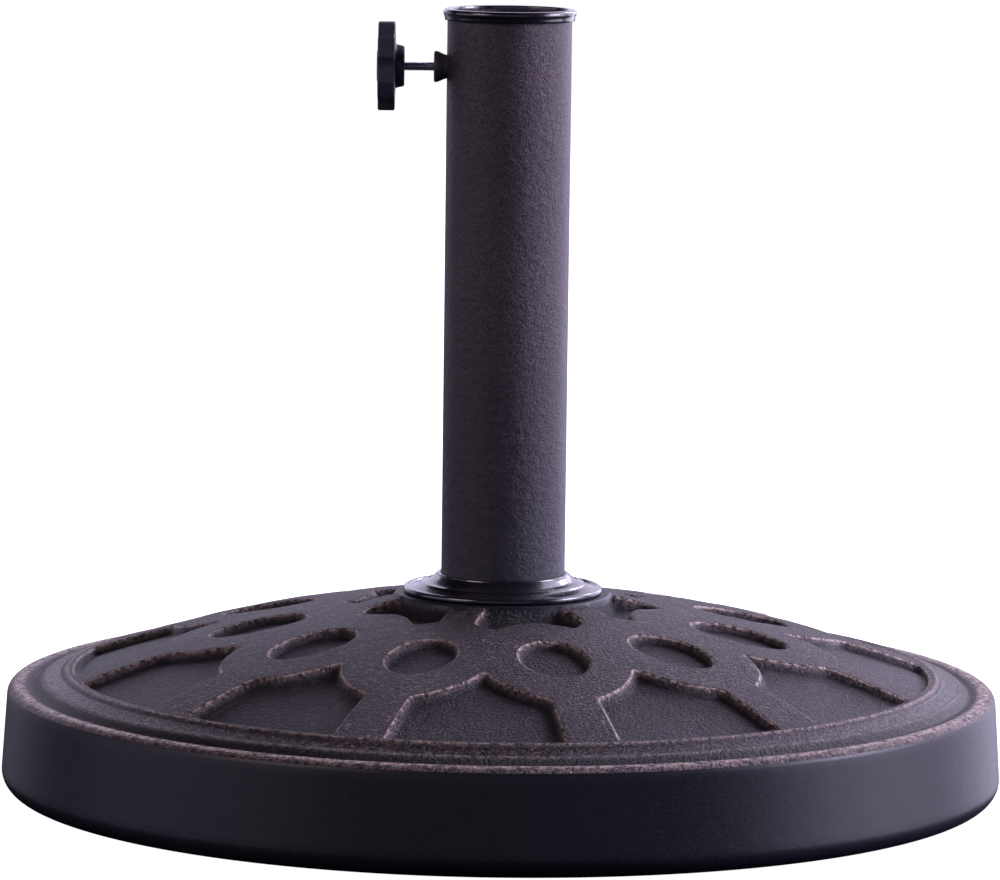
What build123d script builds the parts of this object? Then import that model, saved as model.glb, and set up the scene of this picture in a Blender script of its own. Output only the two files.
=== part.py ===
"""Round garden parasol base: a domed casting with a pierced ring pattern, a steel pole tube and a clamp knob.

Millimetres, +Z up. The origin is on the ground, under the middle of the base. The clamp knob stands on the -X side.
"""

import math
import os

from build123d import *

# ---- Casting -------------------------------------------------------------------------------------
BASE_R = 222.25            # widest radius, 17.5 in across
FOOT_H = 2.0               # the casting stands this far off the ground on its feet
BOTTOM_ROUND = 9.0         # rounding between the wall and the underside
WALL_TOP_R = 219.9         # the wall leans in slightly towards the top
WALL_TOP_Z = 45.0
BEAD_CREST_R = 215.0       # broad rolled edge at the top of the wall
BEAD_CREST_Z = 48.9
BEAD_INNER_R = 210.2
BEAD_INNER_Z = 48.1
CREASE_R = 208.4           # crease between the rolled edge and the sloping rim band
CREASE_Z = 47.7
CREASE_SIDE_R = 207.0
CREASE_SIDE_Z = 48.6
BAND_END_R = 204.0
BAND_END_Z = 51.1
LIP_OUTER_R = 195.5        # thin raised line between the rim band and the patterned field
LIP_INNER_R = 191.5
LIP_H = 0.8
FIELD_R = 190.0            # outer limit of the patterned field

# ---- Dome: the ribbons' tops lie on one sphere and the field between them on a smaller one ---------
DOME_R = 560.0
DOME_TOP_Z = 88.5
DOME_CENTRE_Z = DOME_TOP_Z - DOME_R
RELIEF = 3.6               # how far the field lies below the ribbons
PEDESTAL_R = 48.0
PEDESTAL_Z = 90.3
PEDESTAL_ROUND = 1.2

# ---- Ribbon pattern: twelve oval rings side by side, each with a bar out to the rim ---------------
RING_COUNT = 12
FIRST_RING_DEG = -78.25    # direction of the first ring, from +X
RING_CENTRE_R = 108.0
RING_RADIAL = 47.0         # half-length of a ring along the radius
RING_ACROSS = 34.2         # half-width of a ring
HOLE_CENTRE_R = 110.0
HOLE_RADIAL = 21.3
HOLE_ACROSS = 14.6
BAR_START_R = 148.0
BAR_START_HALF = 10.3      # half-width of a bar where it leaves its ring
BAR_END_HALF = 11.9
STEM_COUNT = 6             # every other ring is also joined to the pedestal
FIRST_STEM_DEG = -108.25
STEM_END_R = 66.0
STEM_HALF = 8.5
RIBBON_FROM_Z = 40.0       # the ribbons are rooted this deep in the casting
RIBBON_UP = 55.0

# ---- Underside -----------------------------------------------------------------------------------
RECESS_INNER_R = 62.0
RECESS_OUTER_R = 160.0
RECESS_DEPTH = 4.0
RIB_COUNT = 6
RIB_W = 16.0
FOOT_COUNT = 6
FOOT_PCD_R = 184.0
FOOT_R = 12.0
FOOT_POCKET = 2.0
FOOT_CHAMFER = 0.6
FIRST_FOOT_DEG = 30.0
COUNTERBORE_R = 24.0
COUNTERBORE_TOP_Z = 18.0
BOLT_HOLE_R = 5.6

# ---- Pole tube -----------------------------------------------------------------------------------
TUBE_R = 27.5
TUBE_WALL = 1.5
TUBE_BORE_R = TUBE_R - TUBE_WALL
TUBE_BOTTOM_Z = 30.0
TUBE_TOP_Z = 348.0
SOCKET_GAP = 0.3
SEAT_R = 26.3              # the tube's lower end is bored out slightly to take the end plate
SEAT_TOP_Z = 52.0
PLATE_TOP_Z = 51.5         # the pole stands on the plate
PLATE_T = 6.0
NUT_T = 8.0
NUT_ACROSS_FLATS = 17.0
BOLT_R = 5.0
THREAD_GAP = 0.05
BOLT_END_Z = 51.0
BOLT_CHAMFER = 1.0
HEAD_T = 6.4
SPREADER_R = 22.0
SPREADER_T = 3.2
SPRING_WASHER_R = 9.2
SPRING_WASHER_T = 2.2
SPRING_WASHER_SLOT = 1.4
WASHER_HOLE_R = 5.3

# ---- Collar that hides the joint between tube and casting ----------------------------------------
COLLAR_R = 44.3
COLLAR_BEAD_R = 1.4
COLLAR_BORE_R = 27.85
COLLAR_TOP_Z = 99.0
COLLAR_TOP_R = 29.5
COLLAR_TOP_CHAMFER = 0.6
COLLAR_BORE_L = 5.0        # length of the close bore at the collar's top
COLLAR_FOOT_W = 2.5        # flat ring that rests on the pedestal
COLLAR_GROOVE_W = 1.2      # the bead is set off from the flare by a shallow groove
COLLAR_GROOVE_Z = 0.6
COLLAR_HOLLOW = 2.0        # how far the flare sags inwards from a straight cone
COLLAR_HOLLOW_RISE = 2.6

# ---- Cap on the tube's top end -------------------------------------------------------------------
CAP_R = 29.4
CAP_TOP_Z = 349.6
CAP_SKIRT = 3.4            # how far the cap comes down over the tube
CAP_ROUND = 1.5

# ---- Clamp, along X on the -X side ---------------------------------------------------------------
CLAMP_Z = 323.8
BOSS_OUTER_X = -33.2
BOSS_OUTER_R = 6.9
BOSS_INNER_R = 5.2
BOSS_ROUND = 0.8
SPIGOT_R = 4.5
TUBE_HOLE_R = 4.6
SCREW_R = 2.0
SCREW_HEAD_ACROSS_FLATS = 7.0
SCREW_HEAD_T = 2.8
TIP_FACE_X = -26.2
TIP_BACK_X = -29.2
TIP_R = 1.85
TIP_STEM_R = 1.0
TIP_STEM_LENGTH = 3.0
HUB_FACE_X = -46.2
HUB_R = 8.8
HUB_ROOT_R = 9.6
DISC_BACK_X = -50.3
DISC_FRONT_X = -57.8
KNOB_R = 19.6
LOBE_COUNT = 6
SCALLOP_R = 6.5
SCALLOP_CENTRE_R = 23.2
LOBE_ROUND = 2.0
KNOB_ROUND = 1.1
KNOB_CAP_R = 7.0
KNOB_CAP_DEPTH = 1.2       # the cap sits this deep in the knob's outer face
KNOB_CAP_PROUD = 0.5
KNOB_CAP_ROUND = 0.4
SCREW_HEAD_X = DISC_FRONT_X + KNOB_CAP_DEPTH

CLAMP_PLANE = Plane(origin=(0, 0, CLAMP_Z), x_dir=(0, 1, 0), z_dir=(1, 0, 0))


def write(part, name):
    part.label = name
    export_step(part, f"parts/{name}.step")


def sphere_z(radius, r):
    """Height of a sphere about the dome's centre, at distance r from the axis."""
    return DOME_CENTRE_Z + math.sqrt(radius**2 - r**2)


def casting_outline():
    """Half-section of the casting with its field at the lower level, before the ribbons."""
    field_r = DOME_R - RELIEF
    rim_z = sphere_z(DOME_R, FIELD_R)
    band_slope = (rim_z - BAND_END_Z) / (BAND_END_R - FIELD_R)
    lip_outer_z = rim_z - band_slope * (LIP_OUTER_R - FIELD_R)
    lip_inner_z = rim_z - band_slope * (LIP_INNER_R - FIELD_R)
    lip_r = (LIP_OUTER_R + LIP_INNER_R) / 2
    mid_r = (FIELD_R + PEDESTAL_R) / 2
    round_step = BOTTOM_ROUND * math.sin(math.radians(45))
    with BuildLine() as line:
        Polyline((0, PEDESTAL_Z), (0, FOOT_H), (BASE_R - BOTTOM_ROUND, FOOT_H))
        ThreePointArc(
            (BASE_R - BOTTOM_ROUND, FOOT_H),
            (BASE_R - BOTTOM_ROUND + round_step, FOOT_H + BOTTOM_ROUND - round_step),
            (BASE_R, FOOT_H + BOTTOM_ROUND),
        )
        Line((BASE_R, FOOT_H + BOTTOM_ROUND), (WALL_TOP_R, WALL_TOP_Z))
        ThreePointArc((WALL_TOP_R, WALL_TOP_Z), (BEAD_CREST_R, BEAD_CREST_Z), (BEAD_INNER_R, BEAD_INNER_Z))
        ThreePointArc((BEAD_INNER_R, BEAD_INNER_Z), (CREASE_R, CREASE_Z), (CREASE_SIDE_R, CREASE_SIDE_Z))
        Polyline(
            (CREASE_SIDE_R, CREASE_SIDE_Z),
            (BAND_END_R, BAND_END_Z),
            (LIP_OUTER_R, lip_outer_z),
        )
        ThreePointArc(
            (LIP_OUTER_R, lip_outer_z),
            (lip_r, (lip_outer_z + lip_inner_z) / 2 + LIP_H),
            (LIP_INNER_R, lip_inner_z),
        )
        Polyline((LIP_INNER_R, lip_inner_z), (FIELD_R, rim_z), (FIELD_R, sphere_z(field_r, FIELD_R)))
        ThreePointArc(
            (FIELD_R, sphere_z(field_r, FIELD_R)),
            (mid_r, sphere_z(field_r, mid_r)),
            (PEDESTAL_R, sphere_z(field_r, PEDESTAL_R)),
        )
        Polyline(
            (PEDESTAL_R, sphere_z(field_r, PEDESTAL_R)),
            (PEDESTAL_R, PEDESTAL_Z - PEDESTAL_ROUND),
            (PEDESTAL_R - PEDESTAL_ROUND, PEDESTAL_Z),
            (0, PEDESTAL_Z),
        )
    return line.line


def make_ribbons():
    """Raised pattern: oval rings that merge side by side, bars to the rim and stems to the pedestal."""
    with BuildPart() as ribbons:
        with BuildSketch(Plane.XY.offset(RIBBON_FROM_Z)):
            with PolarLocations(RING_CENTRE_R, RING_COUNT, start_angle=FIRST_RING_DEG):
                Ellipse(RING_RADIAL, RING_ACROSS)
            with PolarLocations(HOLE_CENTRE_R, RING_COUNT, start_angle=FIRST_RING_DEG):
                Ellipse(HOLE_RADIAL, HOLE_ACROSS, mode=Mode.SUBTRACT)
            with PolarLocations(0, RING_COUNT, start_angle=FIRST_RING_DEG):
                Polygon(
                    (BAR_START_R, -BAR_START_HALF),
                    (FIELD_R + 1, -BAR_END_HALF),
                    (FIELD_R + 1, BAR_END_HALF),
                    (BAR_START_R, BAR_START_HALF),
                    align=None,
                )
            with PolarLocations((PEDESTAL_R + STEM_END_R) / 2, STEM_COUNT, start_angle=FIRST_STEM_DEG):
                Rectangle(STEM_END_R - PEDESTAL_R + 4, 2 * STEM_HALF)
        extrude(amount=RIBBON_UP)
        with Locations((0, 0, DOME_CENTRE_Z)):
            Sphere(DOME_R, mode=Mode.INTERSECT)
    return ribbons.part


def make_base_casting():
    ribbons = make_ribbons()
    outline = casting_outline()
    with BuildPart() as casting:
        with BuildSketch(Plane.XZ):
            with BuildLine():
                add(outline)
            make_face()
        revolve(axis=Axis.Z)
        add(ribbons)
        with BuildSketch(Plane.XY.offset(TUBE_BOTTOM_Z)):
            Circle(TUBE_R + SOCKET_GAP)
        extrude(amount=PEDESTAL_Z - TUBE_BOTTOM_Z, mode=Mode.SUBTRACT)
        with BuildSketch(Plane.XY.offset(FOOT_H)):
            Circle(COUNTERBORE_R)
        extrude(amount=COUNTERBORE_TOP_Z - FOOT_H, mode=Mode.SUBTRACT)
        with BuildSketch(Plane.XY.offset(FOOT_H)):
            Circle(BOLT_HOLE_R)
        extrude(amount=TUBE_BOTTOM_Z - FOOT_H, mode=Mode.SUBTRACT)
        with BuildSketch(Plane.XY.offset(FOOT_H)):
            Circle(RECESS_OUTER_R)
            Circle(RECESS_INNER_R, mode=Mode.SUBTRACT)
            with PolarLocations(0, RIB_COUNT):
                Rectangle(2 * RECESS_OUTER_R, RIB_W, mode=Mode.SUBTRACT)
        extrude(amount=RECESS_DEPTH, mode=Mode.SUBTRACT)
        with BuildSketch(Plane.XY.offset(FOOT_H)):
            with PolarLocations(FOOT_PCD_R, FOOT_COUNT, start_angle=FIRST_FOOT_DEG):
                Circle(FOOT_R)
        extrude(amount=FOOT_POCKET, mode=Mode.SUBTRACT)
    write(casting.part, "base_casting")


def make_feet():
    """Round rubber pads, half sunk in pockets in the underside."""
    places = PolarLocations(FOOT_PCD_R, FOOT_COUNT, start_angle=FIRST_FOOT_DEG).locations
    for index, place in enumerate(places):
        with BuildPart() as foot:
            with BuildSketch(Plane(place)):
                Circle(FOOT_R)
            extrude(amount=FOOT_H + FOOT_POCKET)
            chamfer(foot.edges().group_by(Axis.Z)[0], length=FOOT_CHAMFER)
        write(foot.part, f"foot_{index + 1}")


def make_pole_tube():
    with BuildPart() as tube:
        with BuildSketch(Plane.XY.offset(TUBE_BOTTOM_Z)):
            Circle(TUBE_R)
            Circle(TUBE_BORE_R, mode=Mode.SUBTRACT)
        extrude(amount=TUBE_TOP_Z - TUBE_BOTTOM_Z)
        with BuildSketch(Plane.XY.offset(TUBE_BOTTOM_Z)):
            Circle(SEAT_R)
        extrude(amount=SEAT_TOP_Z - TUBE_BOTTOM_Z, mode=Mode.SUBTRACT)
        with BuildSketch(CLAMP_PLANE):
            Circle(TUBE_HOLE_R)
        extrude(amount=-(TUBE_R + 1), mode=Mode.SUBTRACT)
    write(tube.part, "pole_tube")


def make_end_plate():
    """Steel disc welded inside the tube's lower end."""
    with BuildPart() as plate:
        with BuildSketch(Plane.XY.offset(PLATE_TOP_Z - PLATE_T)):
            Circle(SEAT_R)
            Circle(BOLT_R + THREAD_GAP, mode=Mode.SUBTRACT)
        extrude(amount=PLATE_T)
    write(plate.part, "end_plate")


def make_plate_nut():
    """Hexagon nut welded under the end plate."""
    with BuildPart() as nut:
        with BuildSketch(Plane.XY.offset(PLATE_TOP_Z - PLATE_T - NUT_T)):
            RegularPolygon(NUT_ACROSS_FLATS / 2, 6, major_radius=False)
            Circle(BOLT_R + THREAD_GAP, mode=Mode.SUBTRACT)
        extrude(amount=NUT_T)
    write(nut.part, "plate_nut")


def make_anchor_bolt():
    """Hexagon bolt that pulls the tube down into the casting from below."""
    shoulder_z = COUNTERBORE_TOP_Z - SPREADER_T - SPRING_WASHER_T
    with BuildPart() as bolt:
        with BuildSketch(Plane.XY.offset(shoulder_z - HEAD_T)):
            RegularPolygon(NUT_ACROSS_FLATS / 2, 6, major_radius=False)
        extrude(amount=HEAD_T)
        with BuildSketch(Plane.XY.offset(shoulder_z)):
            Circle(BOLT_R)
        extrude(amount=BOLT_END_Z - shoulder_z)
        chamfer(bolt.edges().group_by(Axis.Z)[-1], length=BOLT_CHAMFER)
    write(bolt.part, "anchor_bolt")


def make_washers():
    with BuildPart() as spreader:
        with BuildSketch(Plane.XY.offset(COUNTERBORE_TOP_Z - SPREADER_T)):
            Circle(SPREADER_R)
            Circle(WASHER_HOLE_R, mode=Mode.SUBTRACT)
        extrude(amount=SPREADER_T)
    write(spreader.part, "spreader_washer")
    with BuildPart() as spring:
        with BuildSketch(Plane.XY.offset(COUNTERBORE_TOP_Z - SPREADER_T - SPRING_WASHER_T)):
            Circle(SPRING_WASHER_R)
            Circle(WASHER_HOLE_R, mode=Mode.SUBTRACT)
            with Locations((SPRING_WASHER_R - 2, 0)):
                Rectangle(2 * SPRING_WASHER_R - 2 * WASHER_HOLE_R, SPRING_WASHER_SLOT, mode=Mode.SUBTRACT)
        extrude(amount=SPRING_WASHER_T)
    write(spring.part, "spring_washer")


def make_collar():
    """Thin flared ring, loose on the tube, with a rolled outer edge."""
    bead_r = COLLAR_R - COLLAR_BEAD_R
    bead_z = PEDESTAL_Z + COLLAR_BEAD_R
    groove = (bead_r - COLLAR_GROOVE_W, bead_z + COLLAR_GROOVE_Z)
    flare_mid = ((bead_r + COLLAR_TOP_R) / 2 - COLLAR_HOLLOW, bead_z + COLLAR_HOLLOW_RISE)
    with BuildPart() as collar:
        with BuildSketch(Plane.XZ):
            with BuildLine():
                Line((bead_r - COLLAR_FOOT_W, PEDESTAL_Z), (bead_r, PEDESTAL_Z))
                ThreePointArc(
                    (bead_r, PEDESTAL_Z),
                    (COLLAR_R, bead_z),
                    (bead_r, bead_z + COLLAR_BEAD_R),
                )
                Line((bead_r, bead_z + COLLAR_BEAD_R), groove)
                ThreePointArc(
                    groove,
                    flare_mid,
                    (COLLAR_TOP_R, COLLAR_TOP_Z - COLLAR_TOP_CHAMFER),
                )
                Polyline(
                    (COLLAR_TOP_R, COLLAR_TOP_Z - COLLAR_TOP_CHAMFER),
                    (COLLAR_TOP_R - COLLAR_TOP_CHAMFER, COLLAR_TOP_Z),
                    (COLLAR_BORE_R, COLLAR_TOP_Z),
                    (COLLAR_BORE_R, COLLAR_TOP_Z - COLLAR_BORE_L),
                    (bead_r - COLLAR_FOOT_W, PEDESTAL_Z),
                )
            make_face()
        revolve(axis=Axis.Z)
    write(collar.part, "collar")


def make_top_cap():
    """Ring pressed over the tube's top end, with a rounded outer roll and the same bore as the tube."""
    skirt_z = TUBE_TOP_Z - CAP_SKIRT
    round_step = CAP_ROUND * math.sin(math.radians(45))
    with BuildPart() as cap:
        with BuildSketch(Plane.XZ):
            with BuildLine():
                Polyline(
                    (TUBE_BORE_R, CAP_TOP_Z),
                    (TUBE_BORE_R, TUBE_TOP_Z),
                    (TUBE_R, TUBE_TOP_Z),
                    (TUBE_R, skirt_z),
                    (CAP_R - CAP_ROUND / 2, skirt_z),
                    (CAP_R, skirt_z + CAP_ROUND),
                    (CAP_R, CAP_TOP_Z - CAP_ROUND),
                )
                ThreePointArc(
                    (CAP_R, CAP_TOP_Z - CAP_ROUND),
                    (CAP_R - CAP_ROUND + round_step, CAP_TOP_Z - CAP_ROUND + round_step),
                    (CAP_R - CAP_ROUND, CAP_TOP_Z),
                )
                Line((CAP_R - CAP_ROUND, CAP_TOP_Z), (TUBE_BORE_R, CAP_TOP_Z))
            make_face()
        revolve(axis=Axis.Z)
    write(cap.part, "top_cap")


def make_clamp_boss():
    """Flared steel boss welded over the tube's side hole and threaded for the clamp screw."""
    with BuildPart() as boss:
        with BuildSketch(CLAMP_PLANE.offset(BOSS_OUTER_X)):
            Circle(BOSS_OUTER_R)
        with BuildSketch(CLAMP_PLANE.offset(-TUBE_BORE_R)):
            Circle(BOSS_INNER_R)
        loft()
        fillet(boss.edges().group_by(Axis.X)[0], radius=BOSS_ROUND)
        with BuildSketch(Plane.XY.offset(CLAMP_Z - 2 * BOSS_OUTER_R)):
            Circle(TUBE_R)
        extrude(amount=4 * BOSS_OUTER_R, mode=Mode.SUBTRACT)
        with BuildSketch(CLAMP_PLANE.offset(-TUBE_R - 1.0)):
            Circle(SPIGOT_R)
        extrude(amount=TUBE_R + 1.0 + TIP_FACE_X + 0.1)
        with BuildSketch(CLAMP_PLANE.offset(BOSS_OUTER_X - 1)):
            Circle(SCREW_R + THREAD_GAP)
        extrude(amount=TUBE_R, mode=Mode.SUBTRACT)
    write(boss.part, "clamp_boss")


def make_clamp_screw():
    """Steel screw with its hexagon head buried in the knob and a blind hole for the tip's stem."""
    with BuildPart() as screw:
        with BuildSketch(CLAMP_PLANE.offset(SCREW_HEAD_X)):
            RegularPolygon(SCREW_HEAD_ACROSS_FLATS / 2, 6, major_radius=False)
        extrude(amount=SCREW_HEAD_T)
        with BuildSketch(CLAMP_PLANE.offset(SCREW_HEAD_X + SCREW_HEAD_T)):
            Circle(SCREW_R)
        extrude(amount=TIP_BACK_X - THREAD_GAP - SCREW_HEAD_X - SCREW_HEAD_T)
        with BuildSketch(CLAMP_PLANE.offset(TIP_BACK_X - THREAD_GAP)):
            Circle(TIP_STEM_R + THREAD_GAP)
        extrude(amount=-(TIP_STEM_LENGTH + 0.1), mode=Mode.SUBTRACT)
    write(screw.part, "clamp_screw")


def make_clamp_tip():
    """Nylon tip that slides with the screw but doesn't turn, so that it doesn't scrape the pole."""
    with BuildPart() as tip:
        with BuildSketch(CLAMP_PLANE.offset(TIP_BACK_X)):
            Circle(TIP_R)
        extrude(amount=TIP_FACE_X - TIP_BACK_X)
        with BuildSketch(CLAMP_PLANE.offset(TIP_BACK_X)):
            Circle(TIP_STEM_R)
        extrude(amount=-TIP_STEM_LENGTH)
    write(tip.part, "clamp_tip")


def make_knob():
    """Moulded six-lobed hand knob with a round hub towards the tube."""
    with BuildPart() as knob:
        with BuildSketch(CLAMP_PLANE.offset(DISC_FRONT_X)):
            Circle(KNOB_R)
            with PolarLocations(SCALLOP_CENTRE_R, LOBE_COUNT, start_angle=0):
                Circle(SCALLOP_R, mode=Mode.SUBTRACT)
        extrude(amount=DISC_BACK_X - DISC_FRONT_X)
        fillet(knob.edges().filter_by(Axis.X), radius=LOBE_ROUND)
        fillet(knob.edges().group_by(Axis.X)[0], radius=KNOB_ROUND)
        fillet(knob.edges().group_by(Axis.X)[-1], radius=KNOB_ROUND)
        with BuildSketch(CLAMP_PLANE.offset(DISC_BACK_X)):
            Circle(HUB_ROOT_R)
        with BuildSketch(CLAMP_PLANE.offset(HUB_FACE_X)):
            Circle(HUB_R)
        loft()
        with BuildSketch(CLAMP_PLANE.offset(SCREW_HEAD_X)):
            RegularPolygon(SCREW_HEAD_ACROSS_FLATS / 2, 6, major_radius=False)
        extrude(amount=SCREW_HEAD_T, mode=Mode.SUBTRACT)
        with BuildSketch(CLAMP_PLANE.offset(SCREW_HEAD_X)):
            Circle(SCREW_R)
        extrude(amount=HUB_FACE_X - SCREW_HEAD_X + 1, mode=Mode.SUBTRACT)
        with BuildSketch(CLAMP_PLANE.offset(DISC_FRONT_X)):
            Circle(KNOB_CAP_R)
        extrude(amount=KNOB_CAP_DEPTH, mode=Mode.SUBTRACT)
    write(knob.part, "knob")


def make_knob_cap():
    """Round cover pressed into the knob's outer face over the screw's head."""
    with BuildPart() as cap:
        with BuildSketch(CLAMP_PLANE.offset(DISC_FRONT_X - KNOB_CAP_PROUD)):
            Circle(KNOB_CAP_R)
        extrude(amount=KNOB_CAP_PROUD + KNOB_CAP_DEPTH)
        fillet(cap.edges().group_by(Axis.X)[0], radius=KNOB_CAP_ROUND)
    write(cap.part, "knob_cap")


os.makedirs("parts", exist_ok=True)
make_base_casting()
make_feet()
make_pole_tube()
make_end_plate()
make_plate_nut()
make_anchor_bolt()
make_washers()
make_collar()
make_top_cap()
make_clamp_boss()
make_clamp_screw()
make_clamp_tip()
make_knob()
make_knob_cap()
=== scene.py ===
"""Looks of the parasol base: the casting's relief, the finishes, the light and the camera."""

import math

import bmesh
import bpy
import numpy as np
from mathutils import Matrix, Vector, noise
from mathutils.geometry import delaunay_2d_cdt


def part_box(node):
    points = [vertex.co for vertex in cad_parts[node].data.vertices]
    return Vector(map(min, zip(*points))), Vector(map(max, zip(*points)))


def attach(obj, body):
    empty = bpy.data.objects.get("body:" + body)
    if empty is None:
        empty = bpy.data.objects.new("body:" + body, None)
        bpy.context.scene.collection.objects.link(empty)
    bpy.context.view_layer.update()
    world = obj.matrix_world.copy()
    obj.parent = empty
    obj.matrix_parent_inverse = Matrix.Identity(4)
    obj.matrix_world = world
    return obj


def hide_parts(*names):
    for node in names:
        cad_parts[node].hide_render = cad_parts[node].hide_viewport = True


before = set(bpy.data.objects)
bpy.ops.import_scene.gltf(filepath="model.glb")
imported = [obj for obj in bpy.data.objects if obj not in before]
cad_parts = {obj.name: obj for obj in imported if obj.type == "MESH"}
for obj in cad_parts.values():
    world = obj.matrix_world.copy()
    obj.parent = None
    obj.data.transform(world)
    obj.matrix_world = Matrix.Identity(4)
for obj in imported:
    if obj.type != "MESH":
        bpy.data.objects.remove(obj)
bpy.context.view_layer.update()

MM = 0.001

# ---- Sizes of the casting, in mm, as in the CAD -----------------------------------------------------
DOME_R = 560.0
DOME_CENTRE_Z = 88.5 - DOME_R
RELIEF = 3.6
FIELD_R = 190.0
PEDESTAL_Z = 90.3
SOCKET_R = 27.8
SOCKET_Z = 29.95
RINGS = 12
RING_STEP = 2 * math.pi / RINGS
FIRST_RING = math.radians(-78.25)
RING_AT, RING_LONG, RING_WIDE = 108.0, 47.0, 34.2  # centre's radius and half axes of a ring's outline
HOLE_AT, HOLE_LONG, HOLE_WIDE = 110.0, 21.3, 14.6
BAR_START = 141.0
BAR_TAPER_R, BAR_TAPER_HALF = (148.0, 191.0), (10.3, 11.9)
STEM_HALF, STEM_END_R = 8.5, 70.0  # every second ring has a stem in to the pedestal
JOIN = 3.0  # how widely the ribbons' outlines blend where they meet
FAR_OUTSIDE = -50.0
RIM_Z = DOME_CENTRE_Z + math.sqrt(DOME_R**2 - FIELD_R**2)
WALL_TOP_R, WALL_TOP_Z = 219.9, 45.0
BAND_END_R, BAND_END_Z = 204.0, 51.1
BASE_R, FOOT_H, BOTTOM_ROUND = 222.25, 2.0, 9.0
COUNTERBORE_R, COUNTERBORE_Z, BOLT_HOLE_R = 24.05, 18.05, 5.6
COUNTERBORE_EDGE_R = 24.8
RECESS_IN_R, RECESS_OUT_R, RECESS_DEPTH, RIB_HALF = 62.0, 160.0, 4.0, 8.0
FEET_AT, FOOT_POCKET_R, FOOT_POCKET_DEPTH = 184.0, 12.9, 2.0
LIP_START_R, LIP_END_R, LIP_H = 191.7, 195.5, 0.8
OUTER_STEPS = 720
INNER_STEPS = 120
ROUND_STEPS = 192

# The side of a ribbon: distance into the ribbon, and the share of the relief's height there.
SIDE_S = (-2.4, -1.5, -0.9, -0.1, 0.7, 1.3)
SIDE_H = (0.0, 0.05, 0.2, 0.72, 0.95, 1.0)
# The side of the pedestal: radius, and the share of its height.
PEDESTAL_SIDE_R = (46.6, 47.4, 48.0, 48.5, 49.2, 50.2)
PEDESTAL_SIDE_H = (1.0, 0.975, 0.88, 0.45, 0.1, 0.0)
# The two finishes of the casting meet under the rolled edge, and on top of the pedestal.
WALL_FINISH_Z = 46.6
SEAT_FINISH_R = 48.3

# ---- Sizes of the clamp, in mm, as in the CAD --------------------------------------------------------
CLAMP_Z = 323.8
KNOB_FRONT, KNOB_BACK, HUB_BACK = -57.8, -50.3, -46.2
KNOB_R, KNOB_EDGE, HUB_R = 19.6, 0.8, 9.5
SCALLOP_AT, SCALLOP_R, LOBE_BLEND = 23.2, 6.5, 1.6
SCREW_R, SCREW_PITCH, THREAD_DEPTH = 2.0, 0.7, 0.36
SCREW_HEAD, SCREW_SHANK, SCREW_END = -56.6, -53.8, -29.25
BOSS_FRONT, BOSS_SEAT, BOSS_END = -33.2, -27.2, -26.1


# ---- Shapes --------------------------------------------------------------------------------------
def smooth_max(a, b, k):
    h = np.clip(k - np.abs(a - b), 0, None) / k
    return np.maximum(a, b) + h * h * k / 4


def smooth_step(t):
    t = np.clip(t, 0, 1)
    return t * t * (3 - 2 * t)


def in_ellipse(u, v, a, b):
    """Distance into an ellipse, to first order: positive inside."""
    k0 = np.sqrt((u / a) ** 2 + (v / b) ** 2) + 1e-9
    k1 = np.sqrt((u / a**2) ** 2 + (v / b**2) ** 2) + 1e-9
    return k0 * (1 - k0) / k1


def ribbon(x, y):
    """Distance into the raised pattern, in mm: positive on the ribbons and the rim, negative on the field."""
    r = np.hypot(x, y)
    angle = np.arctan2(y, x) - FIRST_RING
    nearest = np.round(angle / RING_STEP)
    rings, holes, bars = None, None, None
    for side in (0, -1, 1):
        t = angle - (nearest + side) * RING_STEP
        u, v = r * np.cos(t), r * np.sin(t)
        ring = in_ellipse(u - RING_AT, v, RING_LONG, RING_WIDE)
        hole = in_ellipse(u - HOLE_AT, v, HOLE_LONG, HOLE_WIDE)
        half = np.interp(u, BAR_TAPER_R, BAR_TAPER_HALF)
        bar = np.minimum(half - np.abs(v), u - BAR_START)
        has_stem = (np.mod(nearest + side, 2) == 1) & (u > 0)
        stem = np.where(has_stem, np.minimum(STEM_HALF - np.abs(v), STEM_END_R - r), FAR_OUTSIDE)
        bar = np.maximum(bar, stem)
        rings = ring if rings is None else smooth_max(rings, ring, JOIN)
        holes = hole if holes is None else np.maximum(holes, hole)
        bars = bar if bars is None else np.maximum(bars, bar)
    pattern = smooth_max(np.minimum(rings, -holes), bars, JOIN)
    return smooth_max(pattern, r - FIELD_R, 1.5)


def band_z(r):
    slope = (RIM_Z - BAND_END_Z) / (BAND_END_R - FIELD_R)
    return RIM_Z - slope * (r - FIELD_R)


def top_surface(x, y):
    """Height of the casting's top, with the wear, painted-shade and raised masks that its finish uses."""
    r = np.hypot(x, y)
    s = ribbon(x, y)
    lift = np.interp(s, SIDE_S, SIDE_H)
    within = np.minimum(r, WALL_TOP_R)
    high = np.where(r > FIELD_R, band_z(r), DOME_CENTRE_Z + np.sqrt(DOME_R**2 - within**2))
    low = DOME_CENTRE_Z + np.sqrt((DOME_R - RELIEF) ** 2 - within**2)
    # The ribbons rise a little to meet the pedestal.
    high = high + (PEDESTAL_Z - 0.9 - high) * 0.75 * smooth_step((66.0 - r) / 17.0)
    z = low + (high - low) * lift
    step = np.interp(r, PEDESTAL_SIDE_R, PEDESTAL_SIDE_H)
    z = z + (PEDESTAL_Z - z) * step
    wear = np.interp(s, (-0.5, 0.2, 0.7, 1.2), (0.0, 0.35, 0.9, 0.0)) * (step < 0.5)
    wear = np.maximum(wear, 0.5 * np.exp(-(((r - 47.6) / 0.5) ** 2)))
    # Painted shade: the field is darkened at the foot of each ribbon's side and round the pedestal's foot,
    # where shade falls.
    painted_shade = np.exp(-(((s + 2.0) / 0.9) ** 2)) * (r < FIELD_R - 0.5)
    painted_shade = np.maximum(painted_shade, np.interp(r, (47.0, 48.2, 51.0, 56.0), (0.0, 1.0, 1.0, 0.0)) * (lift < 0.3))
    raised = np.where(r < 50.0, 0.15, lift)
    return z, wear, painted_shade, raised


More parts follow.
